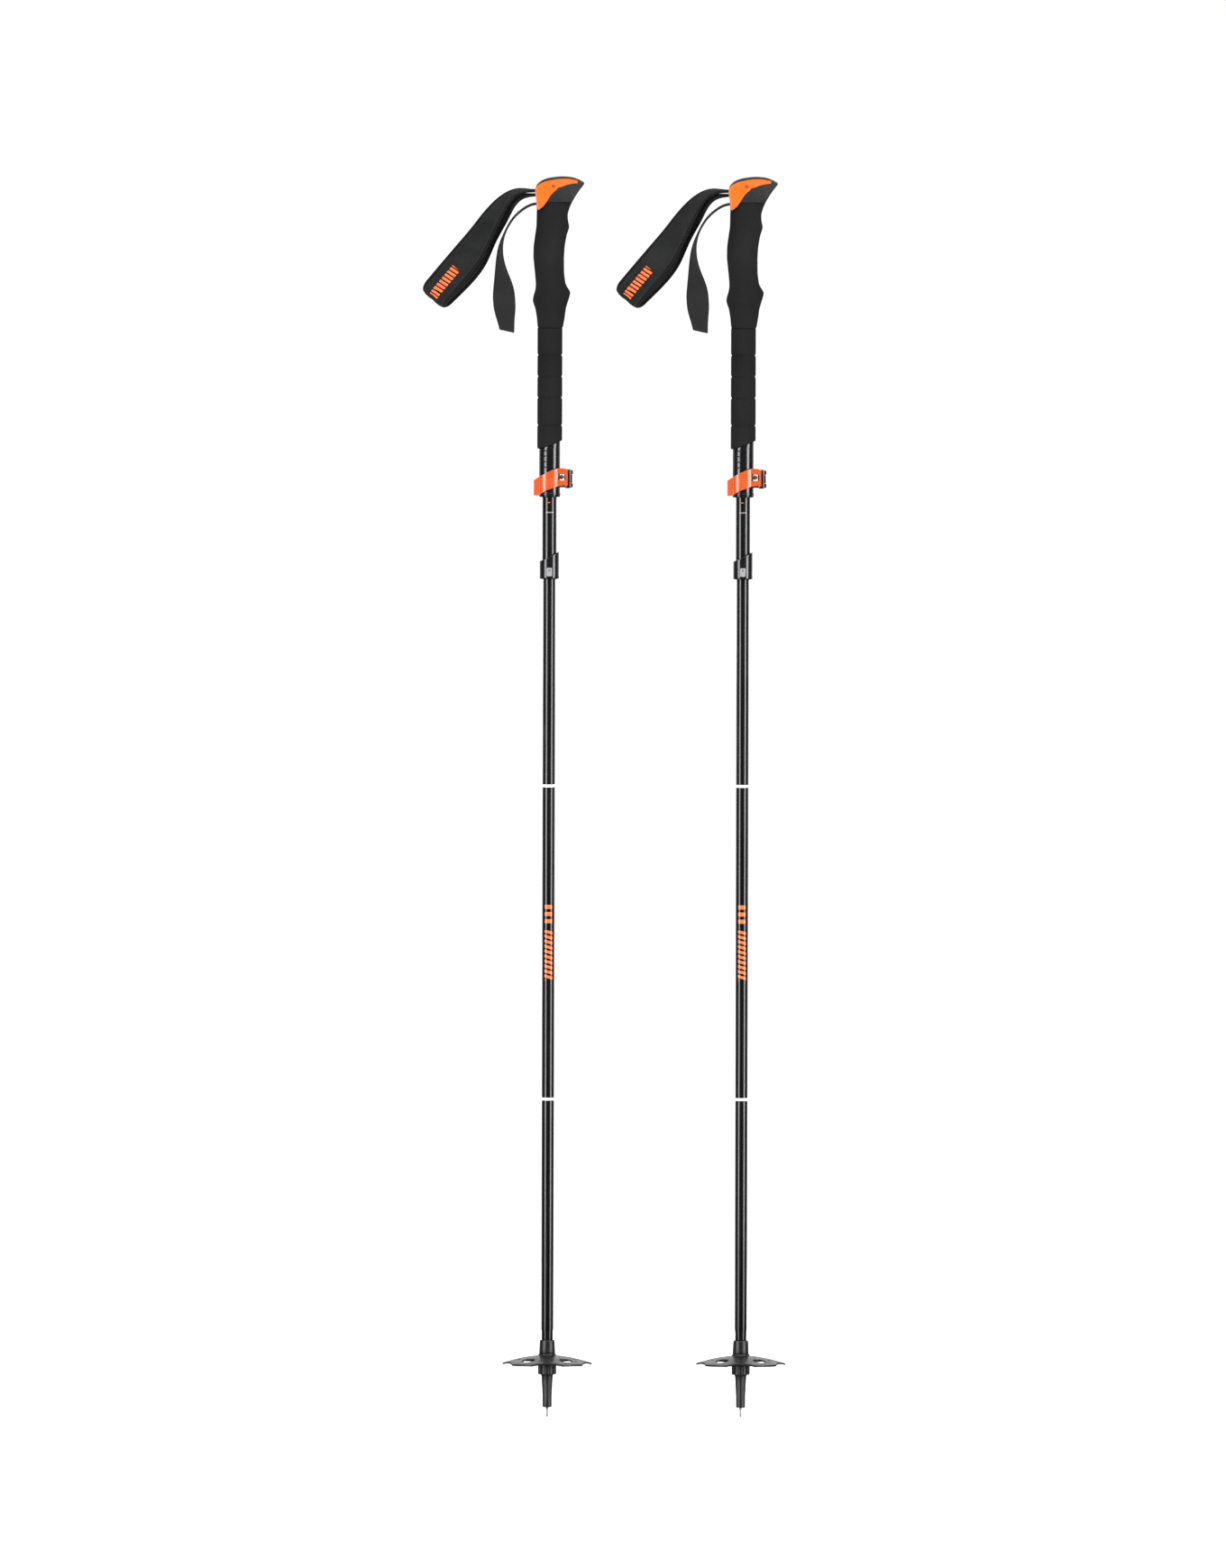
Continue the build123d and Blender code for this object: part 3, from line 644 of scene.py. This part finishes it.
# ---- wrist strap ----
LOOP = np.array([
    # x, height, heading below -X, twist, width, half gap between plies, half sideways shift
    (-7.5, 1203.8, 1.0, 0.0, 17.5, 2.0, 0.0), (-17.0, 1203.4, 5.0, 0.0, 19.0, 2.1, 0.0),
    (-29.0, 1202.4, 16.0, 10.0, 20.0, 2.8, 0.0), (-49.6, 1184.8, 48.0, 44.0, 22.5, 4.4, 0.0),
    (-64.6, 1162.7, 54.0, 70.0, 24.5, 6.4, 0.4), (-76.6, 1143.3, 52.0, 84.0, 28.5, 7.6, 2.5),
    (-92.2, 1123.8, 50.2, 90.0, 29.5, 8.2, 3.5), (-108.3, 1106.2, 50.2, 90.0, 29.5, 7.4, 2.4),
])
TAIL = np.array([
    # x, height, heading below -X, twist
    (-7.5, 1193.0, 4.0, 0.0), (-16.8, 1192.0, 20.0, 0.0), (-28.2, 1186.0, 35.0, 0.0),
    (-35.4, 1179.6, 46.0, 0.0), (-40.6, 1172.4, 57.0, 0.0), (-45.3, 1162.4, 71.0, 1.0),
    (-48.3, 1150.6, 82.0, 8.0), (-49.0, 1138.0, 92.0, 18.0), (-47.8, 1123.0, 99.0, 37.0),
    (-46.0, 1110.0, 97.0, 63.0), (-45.0, 1097.0, 95.0, 83.0), (-43.7, 1082.0, 95.0, 57.0),
    (-42.4, 1067.3, 94.0, 38.0),
])


def frames(path, count):
    """Along a strap: centre, direction across it, direction it faces, the other columns, distance gone."""
    gone = np.concatenate([[0], np.cumsum(np.hypot(*np.diff(path[:, :2], axis=0).T))])
    at = np.linspace(0, gone[-1], count)
    rows = through(gone, path, at)
    turn, roll = np.radians(rows[:, 2]), np.radians(rows[:, 3])
    zero = np.zeros(count)
    up = np.stack([-np.sin(turn), zero, np.cos(turn)], axis=1)
    out = np.array([0.0, -1.0, 0.0])
    facing = up * np.cos(roll)[:, None] + out * np.sin(roll)[:, None]
    across = up * np.sin(roll)[:, None] - out * np.cos(roll)[:, None]
    centre = np.stack([rows[:, 0], zero, rows[:, 1]], axis=1)
    return centre, across, facing, rows[:, 4:], at


EDGE_STEPS = np.array([0.0, 0.12, 0.4, 0.85, 1.4, 2.0, 2.6, 3.0, 3.35, 3.9])


def band_section(width):
    """Round a padded strap's section: (across, out of its face, distance from the edge, on the binding)."""
    inner = width / 2 - EDGE_STEPS[-1]
    places = np.concatenate([
        -width / 2 + EDGE_STEPS, np.linspace(-inner, inner, 13)[1:-1], width / 2 - EDGE_STEPS[::-1]
    ])
    edge = width / 2 - np.abs(places)
    bead = 1.3 * np.sqrt(np.clip(1 - ((1.3 - np.minimum(edge, 1.3)) / 1.3) ** 2, 0, 1))
    pad = 0.95 + 0.75 * (1 - np.exp(-np.clip(edge - 3.35, 0, None) / 2.2))
    half = np.where(edge < 3.05, bead - 0.25 * np.clip((edge - 2.4) / 0.6, 0, 1), pad)
    half = np.where(np.abs(edge - 3.35) < 0.2, 0.8, half)
    places, edge = np.concatenate([places, places[-2:0:-1]]), np.concatenate([edge, edge[-2:0:-1]])
    half = np.concatenate([half, -half[-2:0:-1]])
    return places, half, edge


def strap_band():
    """The padded wrist loop: front ply, the fold for the wrist, back ply."""
    centre, across, facing, rest, at = frames(LOOP, 130)
    width, gap, shift = rest.T
    turn = math.radians(LOOP[-1, 2])
    onward = np.array([-math.cos(turn), 0, -math.sin(turn)])
    rings = []

    def add(middle, direction, face, size, along, tip=0.0):
        u, v, edge = band_section(size)
        corner = -2.8 * np.clip((np.abs(u) - size / 2 + 5) / 5, 0, 1) ** 2 - 0.45 * np.exp(-((u / 2.5) ** 2))
        points = middle + u[:, None] * direction + v[:, None] * face + (tip * corner)[:, None] * onward
        rings.append((points, u, edge, along))

    for c, a, f, g, w, b, s in zip(centre, across, facing, gap, width, shift, at):
        add(c + f * g + a * b, a, f, w, at[-1] - s)
    fold = np.radians(np.linspace(-84, 84, 23))
    for angle in fold:
        middle = centre[-1] - (facing[-1] * gap[-1] + across[-1] * shift[-1]) * math.sin(angle)
        middle += onward * (9.6 * math.cos(angle))
        face = onward * math.cos(angle) - facing[-1] * math.sin(angle)
        add(middle, across[-1], face, width[-1], -12.0 * (angle + 1.5), math.cos(angle) ** 0.7)
    for c, a, f, g, w, b, s in zip(*[x[::-1] for x in (centre, across, facing, gap, width, shift, at)]):
        add(c - f * g - a * b, a, -f, w, -40.0 - (at[-1] - s))
    points = np.stack([r[0] for r in rings])
    mesh = mesh_of("band", skin(points, flip=True))
    count = points.shape[1]
    cloth = [(u[k], along) for _, u, _, along in rings for k in range(count)]
    border = [(edge[k], along) for _, _, edge, along in rings for k in range(count)]
    set_uv(mesh, "cloth", cloth + [(0, 0)] * 2)
    set_uv(mesh, "edge", border + [(9, 0)] * 2)
    edges = np.array([b[0] for b in border] + [9, 9])
    for face in mesh.polygons:
        face.material_index = 1 if edges[list(face.vertices)].mean() < 3.05 else 0
    return mesh


def strap_web():
    """The loose end of the webbing, cut at a slant."""
    centre, across, facing, _, at = frames(TAIL, 110)
    rows, cloth = [], []
    width, half = 22.0, 0.85
    u = np.concatenate([[-11.0, -10.85, -10.3, -9.6], np.linspace(-9, 9, 15), [9.6, 10.3, 10.85, 11.0]])
    thick = np.interp(width / 2 - np.abs(u), [0, 0.15, 0.7, 1.4, 2.0], [0.35, 0.75, 1.0, 0.95, 0.8]) * half
    places, offset = np.concatenate([u, u[::-1]]), np.concatenate([thick, -thick[::-1]])
    for c, a, f, s in zip(centre, across, facing, at):
        wave = 0.25 * math.sin(s / 9.0) * (places / 11) ** 2
        slant = np.clip((s - at[-1] + 14) / 14, 0, 1) * -0.14 * places
        along = np.cross(f, a)
        rows.append(c + places[:, None] * a + (offset + wave)[:, None] * f + slant[:, None] * along)
        cloth += [(p, s) for p in places]
    mesh = mesh_of("web", skin(np.stack(rows), flip=True))
    set_uv(mesh, "cloth", cloth + [(0, 0)] * 2)
    return mesh, at[-1]


# ---- clamp ----
def slanted_sleeve(outer, inner, low, middle, tilt, edge, seat=None, count=96):
    """A sleeve with a level lower end and a slanted upper one. seat is its upper bore's (radius, foot)."""
    rise = math.tan(math.radians(tilt))
    turn = circle(count)
    mouth, foot = seat or (inner, low + 0.2)
    top, inner_top = middle + outer * np.cos(turn) * rise, middle + mouth * np.cos(turn) * rise
    base = low + edge
    rings = [ring(inner + 0.1, low, count), ring(outer - edge, low, count)]
    rings += [ring(outer - 0.35 * edge, low + 0.3 * edge, count)]
    rings += [ring(outer, base + share * (top - 0.7 - base), count) for share in np.linspace(0, 1, 14)]
    rings += [ring(outer - 0.2, top - 0.2, count), ring(outer - 0.7, top, count)]
    rings += [ring(mouth + 0.1, inner_top, count), ring(mouth, inner_top - 0.2, count)]
    rings += [ring(mouth, foot, count)]
    if seat:
        rings += [ring(inner, foot, count), ring(inner, low + 0.2, count)]
    return skin(rings, loop=True)


PIVOT_X, PIVOT_Y = 18.0, -1.0


def clamp_sleeve():
    """The clamp's body: a glossy sleeve, the lever's two ears, the screw's boss and small ribs."""
    body = slanted_sleeve(10.35, 7.06, 904.5, 956.0, 18.4, 0.8, (8.02, 912.0))
    extra = []
    for low in (914.0, 927.0):
        profile = [
            (0.01, low), (4.5, low), (4.85, low + 0.15), (5.0, low + 0.5),
            (5.0, low + 3.5), (4.85, low + 3.85), (4.5, low + 4), (0.01, low + 4),
        ]
        ear = [ring(r, h, 40, PIVOT_X, PIVOT_Y) for r, h in profile]
        extra.append(skin(ear))
        web = np.array([(8.7, -4.4), (PIVOT_X, -4.4), (PIVOT_X, 2.4), (8.7, 2.4)])
        extra.append(skin([np.column_stack([web, np.full(4, h)]) for h in (low + 0.05, low + 3.95)]))
    for height in (934.0, 939.5, 945.0, 950.3):
        turn = np.radians(np.linspace(237, 254, 9))
        line = np.stack([9.95 * np.cos(turn), 9.95 * np.sin(turn), np.full(9, height)], axis=1)
        extra.append(tube_along(line, 0.8, 12, np.sin(np.linspace(0.3, math.pi - 0.3, 9)) ** 0.5))
    rim = [ring(10.35 + 0.45 * math.sin(a), 907.6 + 1.1 * math.cos(a)) for a in np.linspace(0, math.pi, 9)]
    rim += [ring(9.9, 906.5), ring(9.9, 908.7)]
    extra.append(skin(rim, loop=True, flip=True))
    return mesh_of("clamp", joined(body, *extra))


def cam_lever():
    """The lever, whose barrel on the pin is black."""
    mesh = moulded(cad_copy("lever"), 0.26, 4)
    for vertex in mesh.vertices:
        x, y = vertex.co.x - PIVOT_X, vertex.co.y - PIVOT_Y
        reach = math.hypot(x, y)
        if 3.0 < reach < 4.1 and x > 0:
            vertex.co.xy += Vector((x, y)) / reach * 0.8 * min(1.0, x / 2)
    for face in mesh.polygons:
        x, y, _ = face.center
        on_barrel = math.hypot(x - PIVOT_X, y - PIVOT_Y) < 5.3
        face.material_index = int(x > 17.8 or (x > 15.0 and on_barrel and y > -5.2))
    return mesh


# ---- lock collar ----
def box_between(low, high):
    """A box mesh from its low and high corners, to cut with."""
    corners = []
    for h in (low[2], high[2]):
        near, far = [(x, low[1], h) for x in (low[0], high[0])], [(x, high[1], h) for x in (high[0], low[0])]
        corners.append(near + far)
    return mesh_of("box", skin(np.array(corners, float)), smooth=False)


def lock_sleeve():
    body = mesh_of("collar", slanted_sleeve(9.5, 6.06, 823.9, 846.0, 25.1, 1.2))
    window = box_between((-2.8, -13.0, 826.65), (2.8, -5.0, 835.35))
    body = without(body, window, box_between((8.7, -2.2, 827.0), (12.0, 2.2, 830.4)))
    bevel = {"width": 0.22, "segments": 2, "limit_method": "ANGLE", "angle_limit": 0.9}
    body = shaped(body, ("BEVEL", bevel))
    body.shade_smooth()
    return shaped(body, ("WEIGHTED_NORMAL", {"keep_sharp": True}))


# ---- folding joints ----
def spigots():
    profile = [
        (1.6, -16.7), (5.1, -16.7), (5.3, -16.4), (5.3, -2.7), (5.2, -2.6), (5.2, 0), (5.12, 0.05),
        (4.95, 1.5),
        (4.6, 3.4), (4.2, 4.6), (3.7, 5.6), (3.1, 6.5), (2.5, 7.2), (2.0, 7.5), (1.6, 7.4),
    ]
    upper = sleeve([(r, 621.75 + h) for r, h in profile], 64)
    lower = sleeve([(r, 311.05 - h) for r, h in profile[::-1]], 64)
    return mesh_of("spigots", joined(upper, lower))


def joint_rings():
    rings = []
    for low, high in ((619.05, 621.75), (311.05, 313.75)):
        middle = (low + high) / 2
        profile = [
            (6.1 - 0.35 * (1 - math.sin(a)), middle - 1.35 * math.cos(a))
            for a in np.linspace(0, math.pi, 13)
        ]
        rings.append(sleeve(profile + [(5.2, high), (5.2, low)]))
    return mesh_of("rings", joined(*rings))


def tension_cord(joint, nose):
    """One joint's cord, with many rings in the short stretch at the joint where it is to bend, and a UV that
    spreads that stretch as if it were bent; this script doesn't bend it.
    """
    low, high, count = joint - 26.0, joint + 64.0, 24
    bend_low, bend_high = sorted((joint + nose, joint + 1.16 * nose))
    heights = np.concatenate([
        np.linspace(low, bend_low, 14)[:-1], np.linspace(bend_low, bend_high, 49),
        np.linspace(bend_high, high, 22)[1:],
    ])
    gone = np.concatenate([
        np.linspace(0, 26, 14)[:-1], np.linspace(26, 58, 49), np.linspace(58, 120, 22)[1:],
    ])
    rings = np.stack([ring(1.4, h, count) for h in heights])
    mesh = mesh_of("cord", skin(rings))
    turn = np.minimum(circle(count), 2 * math.pi - circle(count))
    set_uv(mesh, "cloth", [(t, g) for g in gone for t in turn] + [(0, 0)] * 2)
    return mesh


# ---- basket and tip ----
def ferrule():
    """The tip holder: a fluted cone with a scalloped end, and the basket's seat."""
    turn = circle(128)
    flute = 0.5 - 0.5 * np.cos(8 * turn)
    stations = [
        (1.7, 9.4, 0, 0), (3.6, 9.1, 0, 0.4), (4.35, 9.3, 0.05, 0.5), (4.55, 9.9, 0.1, 0.35),
        (4.6, 11.5, 0.12, 0),
        (4.6, 20.4, 0.12, 0), (4.9, 26.0, 0.28, 0), (5.4, 35.5, 0.28, 0), (5.65, 39.9, 0.05, 0),
        (6.3, 41.9, 0, 0),
        (6.6, 42.3, 0, 0), (6.6, 61.7, 0, 0), (7.6, 61.9, 0, 0), (7.9, 62.3, 0, 0), (7.86, 64.0, 0.1, 0),
        (7.45, 73.8, 0.1, 0), (7.25, 74.9, 0, 0), (7.0, 75.2, 0, 0), (5.5, 75.2, 0, 0), (5.4, 74.9, 0, 0),
        (5.4, 40.0, 0, 0), (1.7, 39.9, 0, 0),
    ]
    rings = [ring(r - cut * flute, h + scallop * flute, 128) for r, h, cut, scallop in stations]
    return mesh_of("ferrule", skin(rings, loop=True))


def basket_dish():
    """The basket, with eight shallow flutes round its collar."""
    form = cad_copy("basket")
    mesh = moulded(form, 0.34, 4)
    true_form = BVHTree.FromPolygons(*surface_of(form))
    for vertex in mesh.vertices:
        vertex.co = true_form.find_nearest(vertex.co)[0]
    mesh = shaped(mesh, ("SMOOTH", {"factor": 0.5, "iterations": 3}))
    mesh.shade_smooth()
    points = np.array([v.co for v in mesh.vertices], float)
    radius, turn = np.hypot(points[:, 0], points[:, 1]), np.arctan2(points[:, 1], points[:, 0])
    on = np.clip((radius - 8.4) / 0.5, 0, 1) * np.clip((50.3 - points[:, 2]) / 1.5, 0, 1)
    on *= (radius < 12) * np.clip((points[:, 2] - 41.2) / 0.8, 0, 1)
    cut = 0.7 * on * np.clip(np.cos(8 * turn) * 1.6, 0, 1)
    points[:, :2] *= (1 - cut / np.maximum(radius, 1))[:, None]
    mesh.vertices.foreach_set("co", points.astype(np.float32).ravel())
    mesh.update()
    return mesh


def hard_tip():
    """The carbide point: a stub with eight flutes and a hollow end."""
    turn = circle(64)
    flute = 0.5 - 0.5 * np.cos(8 * turn)
    stations = [
        (0.02, 0.3, 0), (0.35, 0.1, 0), (0.55, 0.02, 0.05), (0.8, 0.5, 0.15), (1.0, 1.3, 0.18),
        (1.0, 6.6, 0.12),
        (1.15, 7.6, 0), (1.6, 8.9, 0), (1.6, 22.0, 0), (0.02, 22.0, 0),
    ]
    return mesh_of("tip", skin([ring(r - cut * flute, h, 64) for r, h, cut in stations]))


# ---- all the pieces ----
def padded(fill):
    return lambda piece: piece


P = PAINTS
pair("hand_foam", grip_foam(), "handle", P["foam"], ["grip_foam"], cloth=padded(1.0))
pair("low_foam", grip_sleeve(), "handle", P["foam"], ["grip_extension"], cloth=padded(1.0))
pair("head_body", grip_head(), "handle", P["head"], ["grip_head"])
pair("head_shell", head_trim(), "handle", P["trim"], ["head_trim"])
pair(
    "crown_pad", moulded(cad_copy("palm_pad"), 0.35, 4), "handle", P["pad"],
    ["palm_pad"], cloth=padded(1.0),
)

band_bend = ("strap", (-14.0, 0, 1200), (-27.0, 0, 1200))
pair(
    "wrist_band", strap_band(), "handle", [P["knit"], P["binding"]],
    ["strap_loop"], band_bend, padded(0.5),
)
web, web_length = strap_web()
pair(
    "strap_end", web, "handle", P["web"], ["strap_tail"], band_bend,
    lambda piece: piece,
)

pair("clamp_sleeve", clamp_sleeve(), "handle", P["clamp"], ["clamp_body"])
pair("cam_lever", cam_lever(), "clamp_lever", [P["lever"], P["clamp"]], ["lever"])
pair(
    "slide_tube", mesh_of("slide", sleeve(pipe(7.0, 6.4, 837.5, 1100.0))), "adjuster",
    P["scale_tube"], ["adjust_tube"],
)
pair("lock_sleeve", lock_sleeve(), "adjuster", P["clamp"], ["lock_collar"])
pair(
    "push_button", moulded(cad_copy("lock_button"), 0.14, 3), "button",
    P["button"], ["lock_button"],
)
pair(
    "upper_shaft", mesh_of("upper", sleeve(pipe(6.0, 5.3, 621.85, 905.0))), "upper_section",
    P["tube"], ["upper_section_tube"],
)
pair(
    "middle_shaft", mesh_of("middle", sleeve(pipe(6.0, 5.3, 313.75, 619.05, 0.1))),
    "middle_section", P["marked_tube"], ["middle_section_tube"],
)
pair("white_rings", joint_rings(), "middle_section", P["ring"], ["joint_rings"])
pair("joint_plugs", spigots(), "middle_section", P["spigot"], ["joint_spigots"])
lower_profile = [
    (5.4, 40.0), (5.4, 75.0), (5.6, 75.4), (5.6, 83.0), (5.72, 84.2), (5.95, 85.7), (6.0, 86.4),
    *[(6.0, h) for h in np.linspace(90, 310.6, 10)], (5.92, 310.88), (5.75, 310.95), (5.4, 310.95),
    (5.3, 310.8),
    (5.3, 88.0), (4.6, 87.8), (4.6, 40.1),
]
pair(
    "lower_shaft", mesh_of("lower", sleeve(lower_profile)), "lower_section",
    P["tube"], ["lower_section_tube"],
)
pair("upper_cord", tension_cord(621.8, 7.6), "upper_link", P["braid"], ["upper_joint_cord"],
     ("middle_section", (0, 0, 621.8 + 8.8), (0, 0, 621.8 + 7.6)))
pair("lower_cord", tension_cord(311.0, -7.6), "lower_link", P["braid"], ["lower_joint_cord"],
     ("lower_section", (0, 0, 311.0 - 7.6), (0, 0, 311.0 - 8.8)))
pair("tip_holder", ferrule(), "lower_section", P["basket"], ["tip_ferrule"])
pair("snow_basket", basket_dish(), "lower_section", P["basket"], ["basket"])
pair("hard_tip", hard_tip(), "lower_section", P["carbide"], ["carbide_tip"])

KEPT = {
    "strap_wedge": "head", "strap_pin": "pin", "upper_tube": "tube", "clamp_screw": "brass",
    "lever_pin": "clamp",
    "adjust_bush": "bush", "lock_spring": "spring", "stop_bush": "bush",
}
for node, key in KEPT.items():
    for side in POLES:
        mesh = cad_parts[f"{side}_{node}"].data
        mesh.materials.clear()
        mesh.materials.append(P[key].material)


# ---- floor, light and camera ----
def flat_paint(name, color, glow):
    paint = Paint(name, 0.9, Specular_IOR_Level=0.1)
    paint.color(paint.mix(paint.noise(3, 2), color, tuple(0.985 * c for c in color)))
    paint.set(Emission_Color=(1, 1, 1, 1), Emission_Strength=glow)
    return paint


rim = [(9 * math.cos(a), 9 * math.sin(a), 0) for a in circle(64)]
floor = bpy.data.objects.new("floor", mesh_of("floor", (rim, [list(range(64))]), smooth=False))
floor.data.transform(Matrix.Translation((0.095, 0, -1.1505)))
floor.data.materials.append(flat_paint("floor_white", (0.9, 0.9, 0.9), 0.3).material)
floor.visible_glossy = False
SCENE.collection.objects.link(floor)

world = bpy.data.worlds.new("studio")
world.use_nodes = True
world.node_tree.nodes["Background"].inputs["Color"].default_value = (1, 1, 1, 1)
world.node_tree.nodes["Background"].inputs["Strength"].default_value = 1.02
world.cycles_visibility.glossy = False
SCENE.world = world
SCENE.view_settings.view_transform = "Standard"

MIDDLE = Vector((0.0631, 0, 622.2 / 1000 - 1.150))


def softbox(name, azimuth, elevation, distance, width, height, power):
    """A rectangular area light that faces the poles' middle. Azimuth 0 is in front of them."""
    a, e = math.radians(azimuth), math.radians(elevation)
    back = Vector((math.sin(a) * math.cos(e), -math.cos(a) * math.cos(e), math.sin(e)))
    data = bpy.data.lights.new(name, "AREA")
    data.shape, data.size, data.size_y, data.energy = "RECTANGLE", width, height, power
    lamp = bpy.data.objects.new(name, data)
    lamp.location = MIDDLE + back * distance
    lamp.rotation_mode = "QUATERNION"
    lamp.rotation_quaternion = (-back).to_track_quat("-Z", "Y")
    SCENE.collection.objects.link(lamp)


softbox("strip_left", -48, 13, 2.6, 1.05, 2.4, 56)
softbox("strip_right", 57, 13, 2.6, 1.05, 2.4, 62)
softbox("low_left", -48, -24, 2.8, 1.05, 1.3, 14)
softbox("low_right", 57, -24, 2.8, 1.05, 1.3, 16)
softbox("side_left", -128, 5, 3.0, 0.9, 3.2, 8)
softbox("side_right", 130, 5, 3.0, 0.9, 3.2, 8)
softbox("overhead", 10, 62, 2.4, 1.6, 1.6, 24)
softbox("rear", 180, 36, 3.2, 3.4, 1.7, 24)
softbox("rear_low", 180, 10, 2.8, 3.4, 1.1, 16)

camera = bpy.data.objects.new("camera", bpy.data.cameras.new("camera"))
camera.data.type = "ORTHO"
camera.data.ortho_scale = 1.540
tilt, lean = math.radians(3.0), math.radians(0.157)
back = Vector((0, -math.cos(tilt), math.sin(tilt)))
camera.location = MIDDLE + back * 3.0
camera.rotation_mode = "QUATERNION"
camera.rotation_quaternion = (-back).to_track_quat("-Z", "Y") @ Matrix.Rotation(lean, 4, "Z").to_quaternion()
camera.data.clip_end = 60
SCENE.collection.objects.link(camera)
SCENE.camera = camera
